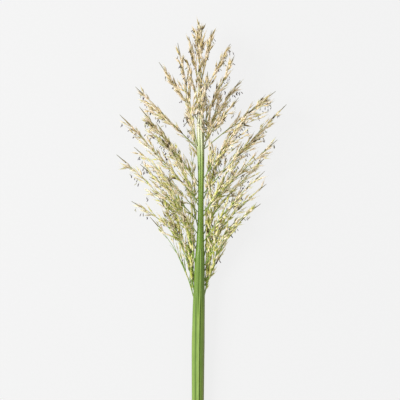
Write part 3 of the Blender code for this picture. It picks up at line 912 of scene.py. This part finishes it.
def place_florets(start, end, bow, bare, spacing, last, draw):
    """Where spikelets sit on carriers: the carrier's number, the share along it and the turn round it."""
    length = np.linalg.norm(end - start, axis=1)
    count = np.maximum(1, ((length * last - bare) / spacing).astype(int))
    carrier = np.repeat(np.arange(len(start)), count)
    number = np.arange(count.sum()) - np.repeat(np.cumsum(count) - count, count)
    along = bare[carrier] + (number + draw.uniform(0.2, 0.8, len(number))) * spacing[carrier]
    t = np.clip(along / length[carrier], 0, 1)
    turn = draw.uniform(0, 2 * math.pi, len(start))[carrier] + number * math.pi
    return carrier, t, turn + draw.normal(0, 0.6, len(number))


def hang_anthers(skin, base, direction, size, outwards, draw):
    """Pairs of anthers that hang from spikelets on short filaments, back down the stem and outwards."""
    m = len(base)
    for side in (-0.35, 0.35):
        where = base + direction * size[:, None] * draw.uniform(0.35, 0.7, (m, 1))
        aside = leaving(direction, np.full(m, 1.1), draw.uniform(0, 6.28, m))
        outward = 0.35 * outwards + draw.normal(0, 0.3, m)
        hang = unit(np.column_stack([outward, np.full(m, -1.0), draw.normal(-0.1, 0.3, m)]))
        stop = where + aside * 0.7 + hang * draw.uniform(*FILAMENT_LENGTH, m)[:, None]
        radius = np.full((m, 2), FILAMENT_RADIUS)
        threads(skin, where, stop, aside * 0.35, radius, 4, 3, np.full((m, 1), 0.9), 2)
        lie = unit(hang + draw.normal(0, 0.3, (m, 3)) + np.array([side, 0.0, 0.0]))
        long = draw.uniform(*ANTHER_LENGTH, m)
        dark = np.where(draw.random(m) < 0.72, draw.uniform(0, 0.3, m), draw.uniform(0.45, 0.9, m))
        width, depth = (np.full(m, girth) for girth in ANTHER_GIRTH)
        spindles(skin, stop - lie * 0.3, lie, draw.uniform(0, 6.28, m), long, width, depth,
                 draw.normal(0, 0.06, m), np.full(m, 1.0), ANTHER_PROFILE, 4, dark[:, None], 2)


def make_spray(name, node, number, spray, draw, materials):
    """A spray: its branch and twigs as threads, its spikelets as husks round them, its hanging anthers."""
    line = spray["line"]
    root, tip = line[0], line[-1]
    bow = line[len(line) // 2] - (root + tip) / 2
    length = np.linalg.norm(tip - root)
    skin = Skin()

    twigs = np.array(spray["twigs"]).reshape(-1, 2, 3)
    aim, axis = twigs[:, 1] - twigs[:, 0], unit(tip - root)
    lower, lean = lower_side(np.tile(axis, (len(twigs), 1)), root[1])
    above = ((aim * lower).sum(1) < 0) & (lean > 0.3)
    above = above | (root[1] < LOOSE_ROOTS[0]) | (root[1] > LOOSE_ROOTS[1])
    reach = np.linalg.norm(aim, axis=1)[:, None]
    pressed = unit(aim / reach + np.where(above, 1.4, 0.0)[:, None] * axis) * reach
    twigs[:, 1] = twigs[:, 0] + pressed
    more = [extra_twigs(number, root, tip, bow, length, draw)]
    if number != BARE_SPRAY and root[1] < INNER_TWIGS[-1][0]:
        more.append(inner_twigs(root, tip, bow, draw))
    if number != BARE_SPRAY and root[1] < STEM_TWIGS[-1][0]:
        more.append(stem_twigs(root, tip, bow, draw))
    if FRONT_ROOTS[0] < root[1] < FRONT_ROOTS[1] and abs(tip[0]) < FRONT_TIPS:
        more.append(front_twigs(root, tip, bow, draw))
    run = twigs[:, 1] - twigs[:, 0]
    sway = draw.normal(0, 0.04, (len(twigs), 2, 1)) * np.linalg.norm(run, axis=1)[:, None, None]
    side, top = share_frames(unit(run))
    start = np.vstack([root[None], twigs[:, 0]] + [m[0] for m in more])
    end = np.vstack([tip[None], twigs[:, 1]] + [m[1] for m in more])
    bows = np.vstack([bow[None], side * sway[:, 0] + top * sway[:, 1]] + [m[2] for m in more])
    keep = clear_of_stem(end, 0.8) & clear_of_stem((start + end) / 2 + bows, 0.4)
    keep[0] = True
    start, end, bows = start[keep], end[keep], bows[keep]
    own = np.linalg.norm(end - start, axis=1)
    n = len(start)

    green = np.clip(draw.normal(0.36, 0.1, (n, 1)) + 0.35 * freshness(start)[:, None], 0, 1)
    threads(skin, start[:1], end[:1], bows[:1], np.array([BRANCH_THREAD]), 26, 7, green[:1], 0)
    if n > 1:
        threads(skin, start[1:], end[1:], bows[1:], np.tile(TWIG_THREAD, (n - 1, 1)), 7, 4, green[1:], 0)

    hair_t = np.array([1 - HAIR_LENGTH * 1.7 / length])
    hair_from, hair_axis = on_parabola(start[:1], end[:1], bows[:1], hair_t)
    threads(skin, hair_from, end[:1] + hair_axis * 0.6, bows[:1] * 0, np.array([HAIR_RADIUS]), 8, 5, -0.12, 0)

    bare = np.full(n, 1.6)
    bare[0] = length * bare_share(number, root[1])
    spacing = np.full(n, along_stem(root[1], SPIKELET_STEP))
    spacing[0] *= 0.85
    last = np.ones(n)
    last[0] = 1 - HAIR_LENGTH / length
    carrier, t, turn = place_florets(start, end, bows, bare, spacing, last, draw)
    base, axis = on_parabola(start[carrier], end[carrier], bows[carrier], t)
    direction = leaving(axis, np.full(len(t), 0.5), turn)
    lower, lean = lower_side(axis, root[1])
    hanging = np.clip((direction * lower).sum(1) / 0.48, 0, 1) * lean
    angle = draw.uniform(*HUSK_ANGLE, len(t)) * (1.2 - 0.9 * t * (carrier == 0)) * (1 + 1.4 * hanging)
    angle = angle * along_stem(root[1], NARROWNESS)
    direction = leaving(axis, angle, turn)
    size = draw.uniform(*HUSK_LENGTH, len(t)) * (1.1 - 0.2 * t + 0.2 * (carrier == 0) * t)
    on_branch = np.concatenate([carrier == 0, np.arange(n) == 0])
    foremost = draw.uniform(*FOREMOST_LENGTH, n)
    back = np.concatenate([[HAIR_LENGTH * 0.7 + foremost[0]], foremost[1:] * 1.05])
    tip_base, tip_axis = on_parabola(start, end, bows, np.clip(1 - back / own, 0, 1))
    base = np.vstack([base, tip_base])
    size = np.concatenate([size, foremost])
    t = np.concatenate([t, np.ones(n)])
    turn = np.concatenate([turn, draw.uniform(0, 6.28, n)])
    direction = kept_above(np.vstack([direction, tip_axis]), base, size, HUSK_ROOM)

    end_of = base + direction * size[:, None]
    fits = clear_of_stem(end_of, 0.4) & clear_of_stem((base + end_of) / 2, 0.6)
    if number == THIN_SPRAY:
        fits &= draw.random(len(size)) < 0.5
        size = size * 0.8
    base, direction, size, t, turn, on_branch = (v[fits] for v in (base, direction, size, t, turn, on_branch))
    n = len(size)
    fresh = freshness(base)
    husk = np.clip(draw.normal(0.50, 0.12, n), 0.26, 0.7) + 0.38 * fresh
    husk = husk - 0.09 * np.clip((base[:, 1] - 300) / 50, 0, 1)
    slim = on_branch & (t > SLIM_FROM)
    husk = husk - 0.10 * slim
    withered = draw.random(n) < DARK_SHARE
    husk = np.where(withered, draw.uniform(0.0, 0.1, n), husk)
    roll = turn + draw.normal(0, 0.5, n)
    wide = draw.uniform(*HUSK_WIDTH, n) * size / HUSK_USUAL * np.where(slim, 0.8, 1.0)
    reach = 1.0 + draw.uniform(0.12, 0.35, n) + (t > 0.985) * draw.uniform(0.2, 0.45, n)
    shade = husk[:, None] + np.array([-0.22, -0.03, 0.05, 0.10])
    olive = (draw.random(n) < OLIVE_SHARE + 0.45 * (on_branch & (t > 0.3))) | (number == THIN_SPRAY)
    edge = np.where(olive, draw.uniform(0.35, 0.85, n), draw.uniform(0.0, 0.25, n)) * (1 - 0.5 * fresh)
    edge = np.where(slim, np.maximum(edge, 0.8), edge)
    edge = edge[:, None, None] * np.array([1.0, 0.35, 0.9, 0.35])
    spindles(skin, base, direction, roll, size, wide, wide * 0.72, draw.normal(0.0, 0.05, n), reach,
             INNER_HUSK, 4, shade, 1, edge)
    outer = leaving(direction, draw.uniform(*HUSK_GAPE, n), roll + math.pi / 2)
    short = size * draw.uniform(0.55, 0.85, n)
    shade = husk[:, None] + np.array([-0.22, -0.02, 0.10])
    spindles(skin, base, outer, roll, short, wide * 0.9, wide * 0.42, draw.normal(0.06, 0.05, n),
             np.full(n, 1.12), OUTER_HUSK, 4, shade, 1, edge * 0.7)

    bears = (draw.random(n) < along_stem(root[1], ANTHER_SHARE) * (0.5 + 1.5 * t)) & (t > 0.12)
    if bears.any():
        outwards = np.sign(tip[0]) * np.ones(bears.sum())
        hang_anthers(skin, base[bears], direction[bears], size[bears], outwards, draw)
    piece = skin.make(name, materials)
    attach(piece, "root")
    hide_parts(node)


# The finishes


def darken_sides(tree, colour):
    """Darkens a green to olive brown by the attribute: painted shade along the right side of the stem, away
    from the key light, and on the sheath a browned strip at its left edge low down.
    """
    side_shade_and_brown = add(tree, "ShaderNodeAttribute", attribute_name="side_shade_and_brown").outputs["Fac"]
    share = add(tree, "ShaderNodeMath", {0: side_shade_and_brown, 1: 0.75}, operation="MULTIPLY", use_clamp=True)
    return add(
        tree,
        "ShaderNodeMix",
        {"Factor": share.outputs[0], "A": colour, "B": linear("5a5524")},
        data_type="RGBA",
    ).outputs["Result"]


def fresh_stalk():
    """Living grass stalk: a waxed skin over green flesh, half glossy, paler towards the tip, with painted
    highlight on its ridges there, painted shade in its grooves and on its right side.
    """
    made, tree, shader = new_material(
        "fresh_grass_stalk", Roughness=0.36, IOR=1.42, Coat_Weight=0.15, Coat_Roughness=0.2
    )
    up = add(tree, "ShaderNodeAttribute", attribute_name="up").outputs["Fac"]
    relief_light_and_shade = add(tree, "ShaderNodeAttribute", attribute_name="relief_light_and_shade").outputs["Fac"]
    # The whitish stops near the tip are painted highlight on the ridges over the stalk's own pale green
    flesh = add(
        tree,
        "ShaderNodeValToRGB",
        {"Fac": up},
        stops=(
            (0.0, "749333"),
            (0.50, "75942f"),
            (0.66, "86a43c"),
            (0.73, "aec676"),
            (0.77, "dfe6bb"),
            (0.84, "eeefd2"),
            (0.92, "e8e6c2"),
            (1.0, "c0b884"),
        ),
    ).outputs["Color"]
    # Painted shade in the grooves: darker greens mixed in between the ridges
    groove = add(
        tree,
        "ShaderNodeValToRGB",
        {"Fac": up},
        stops=((0.0, "5e7b2a"), (0.50, "5a7a28"), (0.62, "46601a"), (0.80, "525a1e"), (1.0, "85804f")),
    ).outputs["Color"]
    # Strands of 0.35 mm, the width at which they still show
    strands = streaks(tree, 0.35, 30.0)
    blotches = streaks(tree, 4.0, 25.0, offset=3.0)
    cover = add(tree, "ShaderNodeMath", {0: relief_light_and_shade, 1: strands}, operation="ADD").outputs[0]
    cover = add(tree, "ShaderNodeMapRange", {"Value": cover, "From Min": 0.42, "From Max": 1.2}).outputs[0]
    colour = add(tree, "ShaderNodeMix", {"Factor": cover, "A": groove, "B": flesh}, data_type="RGBA")
    tint = add(
        tree,
        "ShaderNodeValToRGB",
        {"Fac": blotches},
        stops=((0.30, "d9e0b8"), (0.55, "ffffff"), (0.75, "f4efc9")),
    ).outputs["Color"]
    colour = add(
        tree,
        "ShaderNodeMix",
        {"Factor": 0.6, "A": colour.outputs["Result"], "B": tint},
        data_type="RGBA",
        blend_type="MULTIPLY",
    )
    colour = darken_sides(tree, colour.outputs["Result"])
    tree.links.new(colour, shader.inputs["Base Color"])
    bump = add(tree, "ShaderNodeBump", {"Height": strands, "Strength": 0.25, "Distance": 0.0001})
    tree.links.new(bump.outputs["Normal"], shader.inputs["Normal"])
    return made


def cut_pith():
    """The cut across the stalk: pale moist pith with the ends of its strands, matt."""
    made, tree, shader = new_material("cut_grass_pith", Roughness=0.7, IOR=1.4)
    place = add(tree, "ShaderNodeTexCoord").outputs["Object"]
    # Strand ends 0.7 mm apart
    ends = add(tree, "ShaderNodeTexVoronoi", {"Vector": place, "Scale": 1400.0}, feature="F1")
    ends = ends.outputs["Distance"]
    colour = add(
        tree, "ShaderNodeValToRGB", {"Fac": ends}, stops=((0.0, "8f9a58"), (0.22, "cfd3a2"), (0.6, "dfe0ba"))
    ).outputs["Color"]
    tree.links.new(colour, shader.inputs["Base Color"])
    bump = add(tree, "ShaderNodeBump", {"Height": ends, "Strength": 0.4, "Distance": 0.0002})
    tree.links.new(bump.outputs["Normal"], shader.inputs["Normal"])
    return made


def leaf_skin():
    """Living leaf sheath: ribbed green skin, satin, lighter on its ribs, with painted highlight on its lit
    bands and keel, painted shade in its crease and on its right side, and dry and pale at its rim.
    """
    made, tree, shader = new_material(
        "fresh_leaf_sheath", Roughness=0.55, IOR=1.38, Coat_Weight=0.04, Coat_Roughness=0.3
    )
    margin = add(tree, "ShaderNodeAttribute", attribute_name="margin").outputs["Fac"]
    relief_light_and_shade = add(tree, "ShaderNodeAttribute", attribute_name="relief_light_and_shade").outputs["Fac"]
    # Veins of 0.5 mm drawn out over 60 mm
    veins = streaks(tree, 0.5, 60.0)
    # The painted light and shade of the relief, with the veins, picks the green
    cover = add(tree, "ShaderNodeMath", {0: relief_light_and_shade, 1: veins}, operation="ADD").outputs[0]
    cover = add(tree, "ShaderNodeMapRange", {"Value": cover, "From Min": -0.6, "From Max": 1.4}).outputs[0]
    green = add(
        tree,
        "ShaderNodeValToRGB",
        {"Fac": cover},
        stops=((0.0, "456014"), (0.3, "5e7b2a"), (0.6, "75943a"), (0.8, "8ca852"), (1.0, "a2bb6c")),
    ).outputs["Color"]
    patches = streaks(tree, 5.0, 40.0, offset=5.0)
    tint = add(
        tree,
        "ShaderNodeValToRGB",
        {"Fac": patches},
        stops=((0.32, "dfe9c8"), (0.5, "ffffff"), (0.72, "fff0c4")),
    ).outputs["Color"]
    colour = add(
        tree,
        "ShaderNodeMix",
        {"Factor": 0.55, "A": green, "B": tint},
        data_type="RGBA",
        blend_type="MULTIPLY",
    ).outputs["Result"]
    dry = add(
        tree,
        "ShaderNodeMapRange",
        {"Value": margin, "From Min": 0.2, "From Max": 2.5, "To Min": 0.3, "To Max": 0.0},
    )
    colour = add(
        tree,
        "ShaderNodeMix",
        {"Factor": dry.outputs[0], "A": colour, "B": linear("a9b072")},
        data_type="RGBA",
    ).outputs["Result"]
    colour = darken_sides(tree, colour)
    tree.links.new(colour, shader.inputs["Base Color"])
    bump = add(tree, "ShaderNodeBump", {"Height": veins, "Strength": 0.35, "Distance": 0.00015})
    tree.links.new(bump.outputs["Normal"], shader.inputs["Normal"])
    return made


def green_thread():
    """Living branch and twig: thin green stems, a little rough, yellower where they dry."""
    made, tree, shader = new_material("grass_branch", Roughness=0.5, IOR=1.42)
    tone = add(tree, "ShaderNodeAttribute", attribute_name="tone").outputs["Fac"]
    # Streaks 0.8 mm wide and 6 mm long
    grain = streaks(tree, 0.8, 6.0)
    mixed = add(tree, "ShaderNodeMath", {0: grain, 1: 0.5, 2: tone}, operation="MULTIPLY_ADD").outputs[0]
    colour = add(
        tree,
        "ShaderNodeValToRGB",
        {"Fac": mixed},
        stops=((0.2, "6a6436"), (0.45, "a0965a"), (0.65, "94a055"), (0.85, "86a04a"), (1.0, "7e9f3e")),
    ).outputs["Color"]
    tree.links.new(colour, shader.inputs["Base Color"])
    return made


def dry_husk():
    """Dry husk of a spikelet: thin papery straw, matt, brown at its base and pale at its tip."""
    made, tree, shader = new_material("grass_husk", Roughness=0.62, IOR=1.4)
    tone = add(tree, "ShaderNodeAttribute", attribute_name="tone").outputs["Fac"]
    # Specks of about 1 mm, so that no two husks match
    place = add(tree, "ShaderNodeTexCoord").outputs["Object"]
    specks = add(tree, "ShaderNodeTexNoise", {"Vector": place, "Scale": 900.0, "Detail": 2.0}).outputs["Fac"]
    mixed = add(tree, "ShaderNodeMath", {0: specks, 1: 0.45, 2: tone}, operation="MULTIPLY_ADD").outputs[0]
    mixed = add(tree, "ShaderNodeMath", {0: mixed, 1: 0.225}, operation="SUBTRACT").outputs[0]
    colour = add(
        tree,
        "ShaderNodeValToRGB",
        {"Fac": mixed},
        stops=(
            (0.0, "503f20"),
            (0.12, "88743e"),
            (0.26, "c8b36c"),
            (0.40, "f2dcab"),
            (0.52, "feeee0"),
            (0.66, "faf0ca"),
            (0.80, "e6e188"),
            (1.0, "b4bd4c"),
        ),
    ).outputs["Color"]
    edge = add(tree, "ShaderNodeAttribute", attribute_name="edge").outputs["Fac"]
    colour = add(
        tree,
        "ShaderNodeMix",
        {"Factor": edge, "A": colour, "B": linear("8a8640")},
        data_type="RGBA",
        blend_type="MULTIPLY",
    ).outputs["Result"]
    tree.links.new(colour, shader.inputs["Base Color"])
    return made


def anther_sac():
    """Spent anther on its filament: a split pollen sac, dull purple-grey or straw-green, matt."""
    made, tree, shader = new_material("grass_anther", Roughness=0.8, IOR=1.4)
    tone = add(tree, "ShaderNodeAttribute", attribute_name="tone").outputs["Fac"]
    colour = add(
        tree,
        "ShaderNodeValToRGB",
        {"Fac": tone},
        stops=((0.0, "3e3434"), (0.25, "655658"), (0.5, "84856c"), (0.75, "b0ae8a"), (1.0, "d8d3b4")),
    ).outputs["Color"]
    tree.links.new(colour, shader.inputs["Base Color"])
    return made


def light_table():
    """The surface under the seed head: opal acrylic lit from below, matt, so that shadows stay faint."""
    made, tree, shader = new_material("opal_acrylic", Roughness=0.9, Specular_IOR_Level=0.1)
    shader.inputs["Emission Color"].default_value = (1.0, 1.0, 1.0, 1.0)
    shader.inputs["Emission Strength"].default_value = FLOOR_GLOW
    # Clouds of about 2.5 mm
    place = add(tree, "ShaderNodeTexCoord").outputs["Object"]
    clouds = add(tree, "ShaderNodeTexNoise", {"Vector": place, "Scale": 400.0, "Detail": 2.0}).outputs["Fac"]
    colour = add(tree, "ShaderNodeValToRGB", {"Fac": clouds}, stops=((0.3, "464646"), (0.7, "4a4a4a")))
    tree.links.new(colour.outputs["Color"], shader.inputs["Base Color"])
    return made


# The studio


def make_floor():
    """A wide flat sheet, 6 m across, at the height the seed head lies on."""
    half = 3.0
    mesh = bpy.data.meshes.new("floor")
    corners = [(-half, -half, 0), (half, -half, 0), (half, half, 0), (-half, half, 0)]
    mesh.from_pydata(corners, [], [(0, 1, 2, 3)])
    mesh.materials.append(light_table())
    made = bpy.data.objects.new("floor", mesh)
    bpy.context.scene.collection.objects.link(made)


def add_light(name, place, size, power, aim):
    """A square area light that faces a point."""
    lamp = bpy.data.lights.new(name, "AREA")
    lamp.size = size
    lamp.energy = power
    made = bpy.data.objects.new(name, lamp)
    made.location = place
    direction = Vector(aim) - Vector(place)
    made.rotation_euler = direction.to_track_quat("-Z", "Y").to_euler()
    bpy.context.scene.collection.objects.link(made)


def set_studio():
    """Pale surroundings, a broad soft light from the left, a weaker one from the right, the camera above."""
    scene = bpy.context.scene
    world = bpy.data.worlds.new("studio")
    world.use_nodes = True
    world.node_tree.nodes["Background"].inputs["Color"].default_value = (1.0, 1.0, 1.0, 1.0)
    world.node_tree.nodes["Background"].inputs["Strength"].default_value = WORLD_STRENGTH
    scene.world = world
    scene.view_settings.view_transform = "Standard"
    middle = (np.array([0.0, PICTURE_MIDDLE, 0.0]) + ORIGIN) * MM
    middle[2] = 0.0
    add_light("key", middle + np.array(KEY_PLACE), KEY_SIZE, KEY_POWER, middle)
    add_light("fill", middle + np.array(FILL_PLACE), FILL_SIZE, FILL_POWER, middle)
    camera = bpy.data.objects.new("camera", bpy.data.cameras.new("camera"))
    camera.location = (middle[0], middle[1], CAMERA_HEIGHT * MM)
    camera.data.lens = camera.data.sensor_width * (CAMERA_HEIGHT - WIDTH_LEVEL) / PICTURE_WIDTH
    camera.data.clip_end = 20.0
    scene.collection.objects.link(camera)
    scene.camera = camera


def plant_origin():
    """What takes plant millimetres to the row frame: the low corner of the solid culm against the plan's."""
    places = np.linspace(0, CULM_LENGTH, CULM_STATIONS)
    middle, direction = stem_point(places), stem_direction(places)
    level, top = frame_at(direction)
    angle = np.arange(CULM_SIDES)[None, :, None] * 2 * math.pi / CULM_SIDES
    ring = np.cos(angle) * -level[:, None] + np.sin(angle) * top[:, None]
    points = middle[:, None] + culm_radius(places)[:, None, None] * ring
    low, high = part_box("culm")
    return np.array(low) / MM - points.reshape(-1, 3).min(0)


ORIGIN = plant_origin()

make_floor()
set_studio()

stalk = make_stalk([fresh_stalk(), cut_pith()])
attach(stalk, "root")
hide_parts("culm")

sheath = make_leaf_sheath([leaf_skin()])
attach(sheath, "root")
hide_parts("leaf_sheath")

spray_materials = [green_thread(), dry_husk(), anther_sac()]
sprays = plan_sprays()
for number, spray in enumerate(sprays):
    if number < len(BRANCHES):
        node = f"spray_{'left' if BRANCHES[number][1] < 0 else 'right'}_{number + 1:02d}"
    else:
        node = "spray_top"
    draw = np.random.default_rng(SEED * 100 + number)
    make_spray("flowering_" + node, node, number + 1, spray, draw, spray_materials)
